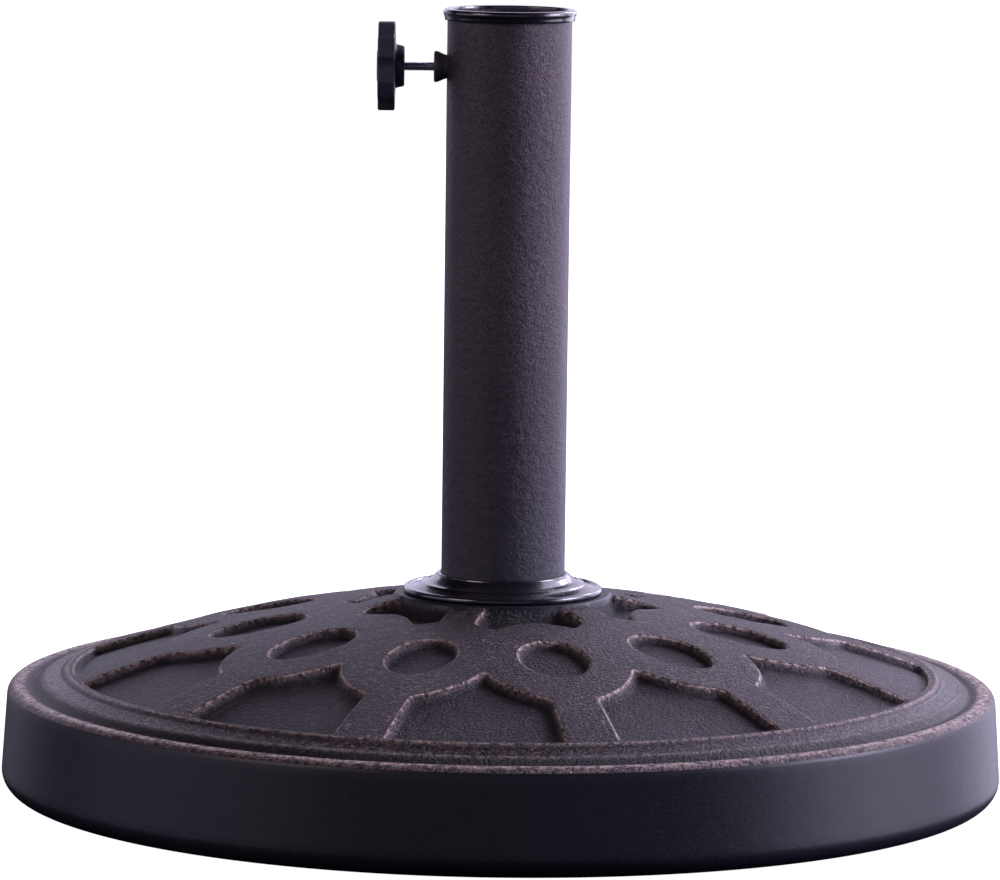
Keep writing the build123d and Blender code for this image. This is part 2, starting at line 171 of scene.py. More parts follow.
def contour(values, xs, level):
    """Lines where a square grid of values crosses the level: the points of each, and whether it is closed."""
    f = values - level
    f = np.where(f == 0, 1e-9, f)
    inside = f > 0
    corner = inside[:-1, :-1]
    mixed = (corner != inside[1:, :-1]) | (corner != inside[:-1, 1:]) | (corner != inside[1:, 1:])
    links = {}
    place = {}

    def crossing(a, b):
        key = (a, b)
        if key not in place:
            t = f[a] / (f[a] - f[b])
            place[key] = (xs[a[0]] + (xs[b[0]] - xs[a[0]]) * t, xs[a[1]] + (xs[b[1]] - xs[a[1]]) * t)
        return key

    for i, j in zip(*np.nonzero(mixed)):
        i, j = int(i), int(j)
        corners = ((i, j), (i + 1, j), (i + 1, j + 1), (i, j + 1))
        edges = ((0, 1), (1, 2), (3, 2), (0, 3))
        cut = []
        for a, b in edges:
            if inside[corners[a]] != inside[corners[b]]:
                cut.append(crossing(corners[a], corners[b]))
        pairs = [cut]
        if len(cut) == 4:
            # A saddle: the middle's side says which crossings belong together.
            middle = f[i : i + 2, j : j + 2].mean() > 0
            if middle == inside[i + 1, j]:
                pairs = [(cut[0], cut[3]), (cut[1], cut[2])]
            else:
                pairs = [cut[:2], cut[2:]]
        for a, b in pairs:
            links.setdefault(a, []).append(b)
            links.setdefault(b, []).append(a)
    lines = []
    seen = set()
    starts = sorted(k for k in links if len(links[k]) == 1) + sorted(links)
    for start in starts:
        if start in seen:
            continue
        line = [start]
        seen.add(start)
        while True:
            onward = [k for k in links[line[-1]] if k not in seen]
            if not onward:
                break
            line.append(onward[0])
            seen.add(onward[0])
        closed = len(line) > 3 and line[0] in links[line[-1]]
        lines.append((np.array([place[k] for k in line]), closed))
    return lines


def even_points(line, closed, pitch):
    """Points evenly spaced along a line."""
    if closed:
        line = np.vstack([line, line[:1]])
    run = np.concatenate([[0], np.cumsum(np.hypot(*np.diff(line, axis=0).T))])
    count = max(3, int(round(run[-1] / pitch)))
    at = np.linspace(0, run[-1], count + 1)
    if closed:
        at = at[:-1]
    return np.column_stack([np.interp(at, run, line[:, 0]), np.interp(at, run, line[:, 1])])


class Plan:
    """Points and lines in plan, which become triangles."""

    def __init__(self):
        self.points = []
        self.edges = []

    def add(self, points, closed=None):
        first = len(self.points)
        self.points.extend((float(p[0]), float(p[1])) for p in points)
        count = len(points)
        if closed is not None:
            self.edges.extend((first + i, first + i + 1) for i in range(count - 1))
            if closed:
                self.edges.append((first + count - 1, first))

    def circle(self, radius, steps, centre=(0.0, 0.0)):
        t = 2 * math.pi * np.arange(steps) / steps
        self.add(np.column_stack([centre[0] + radius * np.cos(t), centre[1] + radius * np.sin(t)]), True)

    def triangles(self, keep):
        out = delaunay_2d_cdt([Vector(p) for p in self.points], self.edges, [], 0, 1e-4)
        places = np.array([tuple(v) for v in out[0]])
        faces = np.array([tuple(f) for f in out[2] if len(f) == 3])
        middle = places[faces].mean(axis=1)
        return places, faces[keep(middle[:, 0], middle[:, 1])]


def filler(inner, outer, pitch, keep):
    """Staggered rings of points over the open areas."""
    found = []
    rows = int((outer - inner) / pitch)
    for row in range(rows + 1):
        radius = inner + (outer - inner) * row / rows
        count = int(2 * math.pi * radius / pitch / 12) * 12
        t = 2 * math.pi * (np.arange(count) + 0.5 * (row % 2)) / count
        found.append(np.column_stack([radius * np.cos(t), radius * np.sin(t)]))
    found = np.vstack(found)
    return found[keep(found[:, 0], found[:, 1])]


UNMARKED = (0.0, 0.0, 0.0)  # no wear, no painted shade, not raised


class Shell:
    """Vertices, faces and masks of one mesh, in mm. A point's masks are its wear, painted-shade and raised
    shares.
    """

    def __init__(self):
        self.places = []
        self.faces = []
        self.masks = []

    def add(self, places, faces, masks):
        first = len(self.places)
        self.places.extend(tuple(map(float, p)) for p in places)
        self.masks.extend(tuple(map(float, m)) for m in masks)
        self.faces.extend(tuple(first + int(i) for i in f) for f in faces)

    def build(self, name, sharp_deg=None, merge=2e-6):
        mesh = bpy.data.meshes.new(name)
        co = np.array(self.places) * MM
        mesh.from_pydata(co.tolist(), [], self.faces)
        masks = np.array(self.masks, dtype=np.float32)
        for column, mask in enumerate(("wear", "painted_shade", "raised")):
            layer = mesh.attributes.new(mask, "FLOAT", "POINT")
            layer.data.foreach_set("value", np.ascontiguousarray(masks[:, column]))
        return finish_mesh(name, mesh, sharp_deg, merge)


def finish_mesh(name, mesh, sharp_deg, merge):
    bm = bmesh.new()
    bm.from_mesh(mesh)
    bmesh.ops.remove_doubles(bm, verts=bm.verts, dist=merge)
    bmesh.ops.dissolve_degenerate(bm, dist=1e-7, edges=bm.edges)
    bmesh.ops.recalc_face_normals(bm, faces=bm.faces)
    bm.to_mesh(mesh)
    bm.free()
    mesh.shade_smooth()
    if sharp_deg:
        mesh.set_sharp_from_angle(angle=math.radians(sharp_deg))
    obj = bpy.data.objects.new(name, mesh)
    bpy.context.scene.collection.objects.link(obj)
    return obj


def ring_faces(rows, steps, closed=False):
    """Quads between rows of points, each row a full turn."""
    faces = []
    last = rows if closed else rows - 1
    for row in range(last):
        a, b = row * steps, ((row + 1) % rows) * steps
        for i in range(steps):
            j = (i + 1) % steps
            faces.append((a + i, a + j, b + j, b + i))
    return faces


def turned(profile, steps, closed=False, axis="Z", centre=(0.0, 0.0, 0.0)):
    """Surface turned from (radius, height) pairs about an axis."""
    t = 2 * math.pi * np.arange(steps) / steps
    places = []
    for radius, height in profile:
        for a in t:
            u, v = radius * math.cos(a), radius * math.sin(a)
            if axis == "Z":
                places.append((centre[0] + u, centre[1] + v, centre[2] + height))
            else:
                places.append((centre[0] + height, centre[1] + u, centre[2] + v))
    return places, ring_faces(len(profile), steps, closed)


def arc(cx, cy, radius, start, end, steps):
    t = np.radians(np.linspace(start, end, steps))
    return [(cx + radius * math.cos(a), cy + radius * math.sin(a)) for a in t]


def turned_piece(name, profile, steps, axis="Z", centre=(0.0, 0.0, 0.0), sharp_deg=50):
    """Piece turned from a closed profile."""
    shell = Shell()
    places, faces = turned(profile, steps, True, axis, centre)
    shell.add(places, faces, [UNMARKED] * len(places))
    return shell.build(name, sharp_deg)


# ---- Casting -------------------------------------------------------------------------------------
def square_grid(half, pitch):
    """Coordinates of a square grid, and its two coordinate arrays."""
    xs = np.arange(-half, half + pitch / 2, pitch)
    return xs, *np.meshgrid(xs, xs, indexing="ij")


def casting_top(shell):
    plan = Plan()
    plan.circle(LIP_START_R, OUTER_STEPS)
    plan.circle(SOCKET_R, INNER_STEPS)
    for radius in PEDESTAL_SIDE_R:
        plan.circle(radius, 2 * INNER_STEPS)
    xs, gx, gy = square_grid(FIELD_R + 3.0, 1.0)
    covered = np.hypot(gx, gy) < PEDESTAL_SIDE_R[-1] - 0.7
    depth = np.where(covered, SIDE_S[0] - 1.6, ribbon(gx, gy))
    for level in SIDE_S:
        pitch = 1.9 if level in (SIDE_S[0], SIDE_S[-1]) else 1.35
        for line, closed in contour(depth, xs, level):
            # The short loop round the pedestal is only where the pattern was covered.
            if np.hypot(*line.mean(axis=0)) < 5 and np.hypot(*line[0]) < 52 and len(line) < 400:
                continue
            plan.add(even_points(line, closed, pitch), closed)

    def open_area(x, y):
        s = ribbon(x, y)
        return (np.abs(s + 0.5) > 3.2) & (np.hypot(x, y) < FIELD_R - 1.5)

    plan.add(filler(52.5, 187.0, 3.2, open_area))
    plan.add(filler(31.0, 44.0, 3.2, lambda x, y: np.full(len(x), True)))
    places, faces = plan.triangles(lambda x, y: np.hypot(x, y) > SOCKET_R - 0.02)
    z, wear, painted_shade, raised = top_surface(places[:, 0], places[:, 1])
    r = np.hypot(places[:, 0], places[:, 1])
    uneven = np.array([noise.noise(Vector((x / 9.0, y / 9.0, 3.0))) for x, y in places])
    z = np.minimum(z + 0.16 * uneven * ((r > 51) & (r < FIELD_R - 1)), PEDESTAL_Z)
    shell.add(np.column_stack([places, z]), faces, np.column_stack([wear, painted_shade, raised]))


def casting_side(shell):
    """Lip, band, crease, rolled edge, wall and rounding, from the lip down to the underside."""
    rows = []
    # Lip: worn on its crest, with painted shade darkening its foot on either side.
    for t in np.linspace(0, 1, 9):
        r = LIP_START_R + (LIP_END_R - LIP_START_R) * t
        crest = math.sin(math.pi * t) ** 2
        rows.append((r, band_z(r) + LIP_H * crest, 0.55 * crest, 0.5 * (1 - crest), 1.0))
    for r in (197.0, 199.0, 201.0, 202.5):
        rows.append((r, band_z(r), 0.0, 0.0, 1.4))
    # From the band over its worn shoulder, through the crease and over the rolled edge:
    # radius, height, wear, painted shade (darkening painted into the crease, where shade falls).
    edge = (
        (203.6, 51.12, 0.3, 0.0),
        (204.6, 50.65, 0.2, 0.4),
        (205.6, 49.95, 0.0, 0.9),
        (206.5, 49.1, 0.0, 0.9),
        (207.2, 48.35, 0.0, 1.0),
        (207.8, 47.9, 0.0, 1.0),
        (208.5, 47.7, 0.0, 1.0),
        (209.3, 47.8, 0.0, 0.8),
        (210.2, 48.12, 0.0, 0.7),
        (211.3, 48.5, 0.25, 0.4),
        (212.6, 48.78, 0.7, 0.0),
        (214.0, 48.9, 0.95, 0.0),
        (215.3, 48.88, 1.0, 0.0),
        (216.5, 48.68, 0.8, 0.0),
        (217.6, 48.25, 0.35, 0.0),
        (218.5, 47.6, 0.25, 0.0),
        (219.2, 46.75, 0.15, 0.0),
        (219.65, 45.9, 0.0, 0.0),
        (WALL_TOP_R, WALL_TOP_Z, 0.0, 0.0),
    )
    rows += [(r, z, wear, painted_shade, 0.7) for r, z, wear, painted_shade in edge]
    for t in np.linspace(0, 1, 12)[1:]:
        z = WALL_TOP_Z + (FOOT_H + BOTTOM_ROUND - WALL_TOP_Z) * t
        rows.append((WALL_TOP_R + (BASE_R - WALL_TOP_R) * t, z, 0.0, 0.0, 0.0))
    for r, z in arc(BASE_R - BOTTOM_ROUND, FOOT_H + BOTTOM_ROUND, BOTTOM_ROUND, 0, -90, 13)[1:]:
        rows.append((r, z, 0.0, 0.0, 0.0))
    places, faces = turned([(row[0], row[1]) for row in rows], OUTER_STEPS)
    shell.add(places, faces, [row[2:] for row in rows for _ in range(OUTER_STEPS)])


def recess(x, y):
    """Distance into one of the underside's six shallow recesses."""
    r = np.hypot(x, y)
    a = np.arctan2(y, x)
    off = np.abs(r * np.sin(a - np.round(a / (math.pi / 3)) * (math.pi / 3)))
    return np.minimum(np.minimum(r - RECESS_IN_R, RECESS_OUT_R - r), off - RIB_HALF)


def casting_bottom(shell):
    plan = Plan()
    plan.circle(BASE_R - BOTTOM_ROUND, OUTER_STEPS)
    plan.circle(COUNTERBORE_EDGE_R, INNER_STEPS)
    xs, gx, gy = square_grid(RECESS_OUT_R + 4.0, 2.0)
    side = (0.0, 0.5, 1.4)
    for level in side:
        for line, closed in contour(recess(gx, gy), xs, level):
            plan.add(even_points(line, closed, 2.6), closed)
    feet = [math.radians(30 + 60 * i) for i in range(6)]
    feet = [(FEET_AT * math.cos(a), FEET_AT * math.sin(a)) for a in feet]
    for centre in feet:
        plan.circle(FOOT_POCKET_R, 60, centre)
        plan.circle(FOOT_POCKET_R - 0.7, 60, centre)
    plan.add(filler(34.0, 200.0, 9.0, lambda x, y: np.abs(recess(x, y)) > 2.5))
    places, faces = plan.triangles(lambda x, y: np.hypot(x, y) > COUNTERBORE_EDGE_R - 0.1)
    x, y = places[:, 0], places[:, 1]
    z = FOOT_H + RECESS_DEPTH * np.interp(recess(x, y), side, (0.0, 0.7, 1.0))
    for cx, cy in feet:
        inward = FOOT_POCKET_R - np.hypot(x - cx, y - cy)
        z = np.maximum(z, FOOT_H + FOOT_POCKET_DEPTH * np.interp(inward, (0.0, 0.65), (0.0, 1.0)))
    shell.add(np.column_stack([places, z]), faces[:, ::-1], [UNMARKED] * len(places))


def casting_core(shell):
    """Counterbore, bolt hole and socket for the tube."""
    profile = [(COUNTERBORE_EDGE_R, FOOT_H), (COUNTERBORE_R + 0.1, FOOT_H + 0.8)]
    profile += [(COUNTERBORE_R, COUNTERBORE_Z), (BOLT_HOLE_R, COUNTERBORE_Z), (BOLT_HOLE_R, SOCKET_Z)]
    profile += [(SOCKET_R, SOCKET_Z), (SOCKET_R, PEDESTAL_Z)]
    places, faces = turned(profile, INNER_STEPS)
    shell.add(places, faces, [UNMARKED] * len(places))


def make_casting():
    shell = Shell()
    casting_top(shell)
    casting_side(shell)
    casting_bottom(shell)
    casting_core(shell)
    casting = shell.build("relief_casting", 60, merge=2e-5)
    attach(casting, "base")
    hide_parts("base_casting")
    return casting


# ---- Collar, cap and clamp -----------------------------------------------------------------------
def make_collar():
    """Collar from its foot over the bead, the groove, the flange, the step and the cone to the bore."""
    low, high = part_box("collar")
    r_out, z0, z1 = high.x / MM, low.z / MM, high.z / MM
    bead, top_round, bore, bore_length, step_r = 1.4, 0.6, 27.85, 5.0, 36.6
    profile = [(r_out - bead - 2.5, z0), (r_out - bead, z0)]
    profile += arc(r_out - bead, z0 + bead, bead, -90, 125, 15)[1:]
    groove_r, groove_z = profile[-1][0] - 0.35, z0 + bead + 0.75
    profile.append((groove_r, groove_z))
    flare = np.linspace(0, 1, 13)[1:]
    for t in flare:
        profile.append((groove_r + (step_r - groove_r) * t, groove_z + 1.9 * t**1.5))
    step_z = profile[-1][1]
    profile += [(step_r - 0.25, step_z + 0.45), (step_r - 0.8, step_z + 0.62)]
    start_r, start_z = profile[-1]
    end_r, end_z = 29.5, z1 - top_round
    for t in flare:
        profile.append((start_r + (end_r - start_r) * t, start_z + (end_z - start_z) * t**1.9))
    profile += arc(end_r - top_round, end_z, top_round, 0, 90, 6)[1:]
    profile += [(bore, z1), (bore, z1 - bore_length)]
    piece = turned_piece("collar_flared", profile, ROUND_STEPS)
    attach(piece, "collar")
    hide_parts("collar")
    return piece


def make_cap():
    """Cap with its rolled rim over the tube's end and a skirt down the outside."""
    low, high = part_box("top_cap")
    r_out, z0, z1 = high.x / MM, low.z / MM, high.z / MM
    mouth, lip, roll, skirt_in, tube_end = 26.0, 0.45, 1.5, 27.52, z1 - 1.6
    profile = [(mouth, z1 - 0.35)]
    profile += arc(mouth + lip, z1 - lip, lip, 170, 90, 5)[1:]
    profile += arc(r_out - roll, z1 - roll, roll, 90, -30, 13)
    profile += [(r_out - 0.75, z0 + 1.25), (r_out - 0.7, z0 + 0.3), (r_out - 1.0, z0)]
    profile += [(skirt_in, z0), (skirt_in, tube_end), (mouth, tube_end)]
    piece = turned_piece("cap_rolled", profile, ROUND_STEPS)
    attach(piece, "base")
    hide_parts("top_cap")
    return piece


def make_boss():
    bore, edge, lip = 2.05, 0.8, 6.9
    flare_x = BOSS_FRONT + edge
    profile = [(bore, BOSS_FRONT), (bore + 0.45, BOSS_FRONT)]
    profile += arc(lip - edge, flare_x, edge, -90, 0, 7)
    for t in np.linspace(0, 1, 9)[1:]:
        profile.append((lip - 1.7 * smooth_step(t), flare_x + (BOSS_SEAT - flare_x) * t))
    profile += [(4.5, BOSS_SEAT), (4.5, BOSS_END), (bore, BOSS_END)]
    piece = turned_piece("boss_flared", profile, 96, "X", (0, 0, CLAMP_Z))
    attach(piece, "base")
    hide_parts("clamp_boss")
    return piece


def turn_angles(steps):
    return [2 * math.pi * i / steps for i in range(steps)]


def from_sixth(angle):
    """Angle from the middle of the nearest sixth of a turn."""
    return (angle + math.pi / 6) % (math.pi / 3) - math.pi / 6


def rows_about_clamp(rows, steps):
    """Points of rows given as a place along the clamp's axis and a radius for each angle."""
    places = []
    for x, radii in rows:
        for a, r in zip(turn_angles(steps), radii):
            places.append((x, r * math.cos(a), CLAMP_Z + r * math.sin(a)))
    return places


def make_screw():
    """Screw with a rolled thread, its hexagon head inside the knob and a blind hole for the tip."""
    steps = 30
    head_half, head_r, hole_r, hole_depth, centre_r = 3.5, 4.0, 1.05, 3.1, 0.01
    thread_end = SCREW_END - 0.6
    angles = turn_angles(steps)
    hexagon = [head_half / math.cos(from_sixth(a)) for a in angles]
    rows = []
    head = [(centre_r, SCREW_HEAD), (head_half, SCREW_HEAD)]
    head += [(head_r, SCREW_HEAD + 0.4), (head_r, SCREW_SHANK)]
    for radius, x in head:
        rows.append((x, [min(radius, flat) for flat in hexagon]))
    count = int((SCREW_END - SCREW_SHANK - 1.2) / (SCREW_PITCH / 8))
    for i in range(count + 1):
        x = SCREW_SHANK + (thread_end - SCREW_SHANK) * i / count
        runout = 0.25 * (1 - min(1.0, (thread_end - x) / SCREW_PITCH + 0.15))
        phases = [(x / SCREW_PITCH - a / (2 * math.pi)) % 1.0 for a in angles]
        ridges = np.interp(phases, (0.0, 0.06, 0.44, 0.56, 0.94, 1.0), (1.0, 1.0, 0.0, 0.0, 1.0, 1.0))
        rows.append((x, [SCREW_R - THREAD_DEPTH * (1 - ridge) - runout for ridge in ridges]))
    rows.append((SCREW_END, [1.45] * steps))
    rows.append((SCREW_END, [hole_r] * steps))
    rows.append((SCREW_END - hole_depth, [hole_r] * steps))
    rows.append((SCREW_END - hole_depth, [centre_r] * steps))
    places = rows_about_clamp(rows, steps)
    faces = ring_faces(len(rows), steps)
    faces.append(tuple(range(steps)))
    last = (len(rows) - 1) * steps
    faces.append(tuple(last + i for i in reversed(range(steps))))
    shell = Shell()
    shell.add(places, faces, [UNMARKED] * len(places))
    piece = shell.build("screw_threaded", 35)
    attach(piece, "knob")
    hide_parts("clamp_screw")
    return piece


def lobed(angle, inset):
    """Radius of the knob's outline at an angle, drawn in by inset."""
    t = from_sixth(angle)
    scallop, outer = SCALLOP_R + inset, KNOB_R - inset
    across = SCALLOP_AT * math.sin(abs(t))
    if across >= scallop:
        return outer
    dip = SCALLOP_AT * math.cos(t) - math.sqrt(scallop**2 - across**2)
    h = max(LOBE_BLEND - abs(outer - dip), 0.0) / LOBE_BLEND
    return min(outer, dip) - h * h * LOBE_BLEND / 4


def make_knob():
    steps = 216
    angles = turn_angles(steps)
    front, back, hub = KNOB_FRONT, KNOB_BACK, HUB_BACK
    cap_r, cap_depth, nut_r, shaft_r, hub_round = 7.0, 1.2, 4.1, 2.02, 0.6
    rows = []

    def round_row(radius, x):
        rows.append((x, [radius] * steps))

    def lobed_row(inset, x, share=1.0):
        rows.append((x, [share * lobed(a, inset) + (1 - share) * 13.0 for a in angles]))

    round_row(cap_r, front + cap_depth)
    round_row(cap_r, front + 0.15)
    round_row(cap_r + 0.15, front)
    round_row(cap_r + 2.0, front)
    lobed_row(3.5, front + 0.02, 0.5)
    lobed_row(2.4, front + 0.06)
    for radius, x in arc(0, 0, KNOB_EDGE, 90, 0, 8):
        lobed_row(KNOB_EDGE - radius, front + KNOB_EDGE - x)
    for t in (0.25, 0.5, 0.75):
        lobed_row(0.0, front + KNOB_EDGE + (back - front - 2 * KNOB_EDGE) * t)
    for radius, x in arc(0, 0, KNOB_EDGE, 0, 90, 8):
        lobed_row(KNOB_EDGE - radius, back - KNOB_EDGE + x)
    lobed_row(2.4, back - 0.02)
    lobed_row(3.5, back, 0.5)
    # Hollow fillet to the hub, the hub, and the way in for the screw.
    round_row(HUB_R + 1.1, back)
    round_row(HUB_R + 0.25, back + 0.45)
    round_row(HUB_R, back + 1.0)
    for t in (0.33, 0.66):
        round_row(HUB_R - 0.5 * t, back + 1.0 + (hub - back - 1.0 - hub_round) * t)
    for radius, x in arc(HUB_R - 0.6 - hub_round, hub - hub_round, hub_round, 0, 90, 5):
        round_row(radius, x)
    round_row(3.2, hub)
    round_row(2.3, hub - 0.5)
    round_row(shaft_r, hub - 0.9)
    round_row(shaft_r, SCREW_SHANK + 0.1)
    round_row(nut_r, SCREW_SHANK + 0.1)
    round_row(nut_r, front + cap_depth)
    places = rows_about_clamp(rows, steps)
    shell = Shell()
    shell.add(places, ring_faces(len(rows), steps, True), [UNMARKED] * len(places))
    piece = shell.build("knob_lobed", 55)
    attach(piece, "knob")
    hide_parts("knob")
    return piece


# ---- Finishes ------------------------------------------------------------------------------------
class Finish:
    """One procedural material, built node by node. Sizes and depths are in mm."""

    def __init__(self, name):
        self.material = bpy.data.materials.new(name)
        self.material.use_nodes = True
        self.tree = self.material.node_tree
        self.shader = self.tree.nodes["Principled BSDF"]
        self.place = self.tree.nodes.new("ShaderNodeTexCoord").outputs["Object"]

    def link(self, source, target):
        self.tree.links.new(source, target)

    def feed(self, value, socket):
        if hasattr(value, "is_output"):
            self.link(value, socket)
        else:
            socket.default_value = value

    def noise(self, size_mm, detail=3.0, roughness=0.55, stretch=None):
        node = self.tree.nodes.new("ShaderNodeTexNoise")
        node.inputs["Scale"].default_value = 1.0 / (size_mm * MM)
        node.inputs["Detail"].default_value = detail
        node.inputs["Roughness"].default_value = roughness
        self.link(self.stretched(stretch), node.inputs["Vector"])
        return node.outputs["Fac"]

    def cells(self, size_mm, stretch=None):
        node = self.tree.nodes.new("ShaderNodeTexVoronoi")
        node.feature = "SMOOTH_F1"
        node.inputs["Smoothness"].default_value = 0.6
        node.inputs["Scale"].default_value = 1.0 / (size_mm * MM)
        self.link(self.stretched(stretch), node.inputs["Vector"])
        return node.outputs["Distance"]

    def stretched(self, stretch):
        if stretch is None:
            return self.place
        node = self.tree.nodes.new("ShaderNodeMapping")
        node.inputs["Scale"].default_value = stretch
        self.link(self.place, node.inputs["Vector"])
        return node.outputs["Vector"]

    def mask(self, name):
        node = self.tree.nodes.new("ShaderNodeAttribute")
        node.attribute_name = name
        return node.outputs["Fac"]

    def along(self, axis):
        node = self.tree.nodes.new("ShaderNodeSeparateXYZ")
        self.link(self.place, node.inputs["Vector"])
        return node.outputs[axis]

    def ramp(self, value, low, high, out_low=0.0, out_high=1.0):
        node = self.tree.nodes.new("ShaderNodeMapRange")
        node.interpolation_type = "SMOOTHSTEP"
        self.link(value, node.inputs["Value"])
        node.inputs["From Min"].default_value = low
        node.inputs["From Max"].default_value = high
        node.inputs["To Min"].default_value = out_low
        node.inputs["To Max"].default_value = out_high
        return node.outputs["Result"]

    def math(self, kind, a, b):
        node = self.tree.nodes.new("ShaderNodeMath")
        node.operation = kind
        node.use_clamp = kind in ("ADD", "SUBTRACT")
        self.feed(a, node.inputs[0])
        self.feed(b, node.inputs[1])
        return node.outputs["Value"]

    def blend(self, amount, a, b):
        node = self.tree.nodes.new("ShaderNodeMix")
        node.data_type = "RGBA"
        self.feed(amount, node.inputs["Factor"])
        # The Mix node's colour inputs and output: its sockets of other types share their names.
        for value, socket in ((a, node.inputs[6]), (b, node.inputs[7])):
            self.feed(value if hasattr(value, "is_output") else (*value, 1.0), socket)
        return node.outputs[2]

    def bump(self, height, depth_mm, strength=1.0, below=None):
        node = self.tree.nodes.new("ShaderNodeBump")
        node.inputs["Strength"].default_value = strength
        node.inputs["Distance"].default_value = depth_mm * MM
        self.link(height, node.inputs["Height"])
        if below is not None:
            self.link(below, node.inputs["Normal"])
        return node.outputs["Normal"]

    def done(self, colour, roughness, normal=None, metallic=0.0, specular=0.5, coat=0.0, coat_roughness=0.1):
        if hasattr(colour, "is_output"):
            self.link(colour, self.shader.inputs["Base Color"])
        else:
            self.shader.inputs["Base Color"].default_value = (*colour, 1.0)
        self.feed(roughness, self.shader.inputs["Roughness"])
        self.feed(metallic, self.shader.inputs["Metallic"])
        self.shader.inputs["Specular IOR Level"].default_value = specular
        self.shader.inputs["Coat Weight"].default_value = coat
        self.shader.inputs["Coat Roughness"].default_value = coat_roughness
        if normal is not None:
            self.link(normal, self.shader.inputs["Normal"])
        return self.material


def cast_bronze():
    f = Finish("cast_bronze")
    wear, painted_shade, raised = f.mask("wear"), f.mask("painted_shade"), f.mask("raised")
    grit = f.noise(1.9, 4.0, 0.78)
    speck = f.noise(2.2, 4.0, 0.75)
    patch = f.noise(28.0, 3.0, 0.6)
    broken = f.noise(2.6, 4.0, 0.7)
    cloud = f.ramp(patch, 0.3, 0.7, 0.5, 1.0)
    dusting = f.math("MULTIPLY", f.ramp(speck, 0.55, 0.61), cloud)
    on_ribbon = f.math("MULTIPLY", dusting, f.ramp(raised, 0.0, 0.9, 0.45, 1.0))
    field = f.blend(f.ramp(grit, 0.42, 0.6), (0.004, 0.003, 0.0055), (0.028, 0.019, 0.028))
    brown = f.blend(f.ramp(grit, 0.42, 0.6), (0.005, 0.0025, 0.004), (0.029, 0.0135, 0.0175))
    colour = f.blend(f.ramp(raised, 0.1, 0.9), field, brown)
    colour = f.blend(f.math("MULTIPLY", on_ribbon, 0.65), colour, (0.34, 0.23, 0.225))
    rubbed = f.math("MULTIPLY", wear, f.ramp(broken, 0.42, 0.55))
    colour = f.blend(f.math("MULTIPLY", rubbed, 0.85), colour, (0.72, 0.55, 0.47))
    # Painted shade: near-black painted where shade falls, in the crease behind the rolled edge, at the feet
    # of the ribbons and round the pedestal.
    colour = f.blend(f.math("MULTIPLY", painted_shade, 0.75), colour, (0.005, 0.004, 0.0065))
    # The flat band round the pattern (raised over 1) and the worn edges are smoother than the rest.
    sleek = f.math("MAXIMUM", f.ramp(raised, 1.0, 1.3), f.math("MULTIPLY", wear, 0.7))
    roughness = f.math("SUBTRACT", f.ramp(grit, 0.2, 0.9, 0.34, 0.5), f.math("MULTIPLY", sleek, 0.13))
    coarse = f.math("SUBTRACT", 1.0, f.math("MULTIPLY", sleek, 0.65))
    normal = f.bump(patch, 0.9, 0.4)
    normal = f.bump(f.math("MULTIPLY", f.cells(1.3), coarse), 0.8, 0.8, normal)
    normal = f.bump(f.math("MULTIPLY", grit, coarse), 1.6, 1.0, normal)
    metallic = f.math("MULTIPLY", f.math("ADD", f.math("MULTIPLY", on_ribbon, 0.5), rubbed), 0.6)
    return f.done(colour, roughness, normal, metallic, specular=0.37)


def wall_black():
    f = Finish("wall_black")
    fine = f.noise(0.9, 3.0, 0.6)
    wide = f.noise(16.0, 3.0, 0.55)
    colour = f.blend(f.ramp(fine, 0.3, 0.75), (0.008, 0.0075, 0.0135), (0.0155, 0.014, 0.0235))
    colour = f.blend(f.ramp(f.noise(5.0, 5.0, 0.65), 0.6, 0.78, 0.0, 0.3), colour, (0.03, 0.024, 0.032))
    normal = f.bump(wide, 0.8, 0.25)
    normal = f.bump(fine, 0.1, 0.5, normal)
    return f.done(colour, f.ramp(fine, 0.3, 0.8, 0.36, 0.5), normal, specular=0.36)


def tube_bronze():
    f = Finish("tube_bronze")
    dent = f.cells(3.4)
    grit = f.noise(1.0, 4.0, 0.75)
    speck = f.noise(0.85, 3.0, 0.7)
    patch = f.noise(30.0, 3.0, 0.6, (1.0, 1.0, 0.45))
    dusting = f.math("MULTIPLY", f.ramp(speck, 0.4, 0.66), f.ramp(patch, 0.3, 0.7, 0.45, 1.0))
    dusting = f.math("MULTIPLY", dusting, f.ramp(f.along("Z"), 0.09, 0.25, 0.2, 1.0))
    colour = f.blend(f.ramp(grit, 0.38, 0.66), (0.01, 0.0083, 0.018), (0.022, 0.017, 0.031))
    colour = f.blend(f.math("MULTIPLY", dusting, 0.5), colour, (0.26, 0.18, 0.185))
    normal = f.bump(dent, 0.6, 0.4)
    normal = f.bump(grit, 0.6, 0.8, normal)
    metallic = f.math("MULTIPLY", dusting, 0.7)
    return f.done(colour, f.ramp(grit, 0.3, 0.75, 0.3, 0.46), normal, metallic, specular=0.52)


def gloss_black():
    f = Finish("gloss_black")
    peel = f.noise(2.6, 2.0, 0.5)
    dust = f.noise(0.7, 3.0, 0.65)
    colour = f.blend(f.ramp(dust, 0.45, 0.75), (0.009, 0.008, 0.012), (0.02, 0.017, 0.022))
    normal = f.bump(peel, 0.08, 0.5)
    roughness = f.ramp(dust, 0.4, 0.8, 0.24, 0.36)
    return f.done(colour, roughness, normal, specular=0.6, coat=0.9, coat_roughness=0.13)


def knob_plastic():
    f = Finish("knob_plastic")
    grain = f.noise(0.45, 3.0, 0.6)
    colour = f.blend(f.ramp(grain, 0.35, 0.7), (0.036, 0.034, 0.054), (0.062, 0.059, 0.088))
    return f.done(colour, f.ramp(grain, 0.3, 0.8, 0.42, 0.58), f.bump(grain, 0.07, 0.6), specular=0.5)


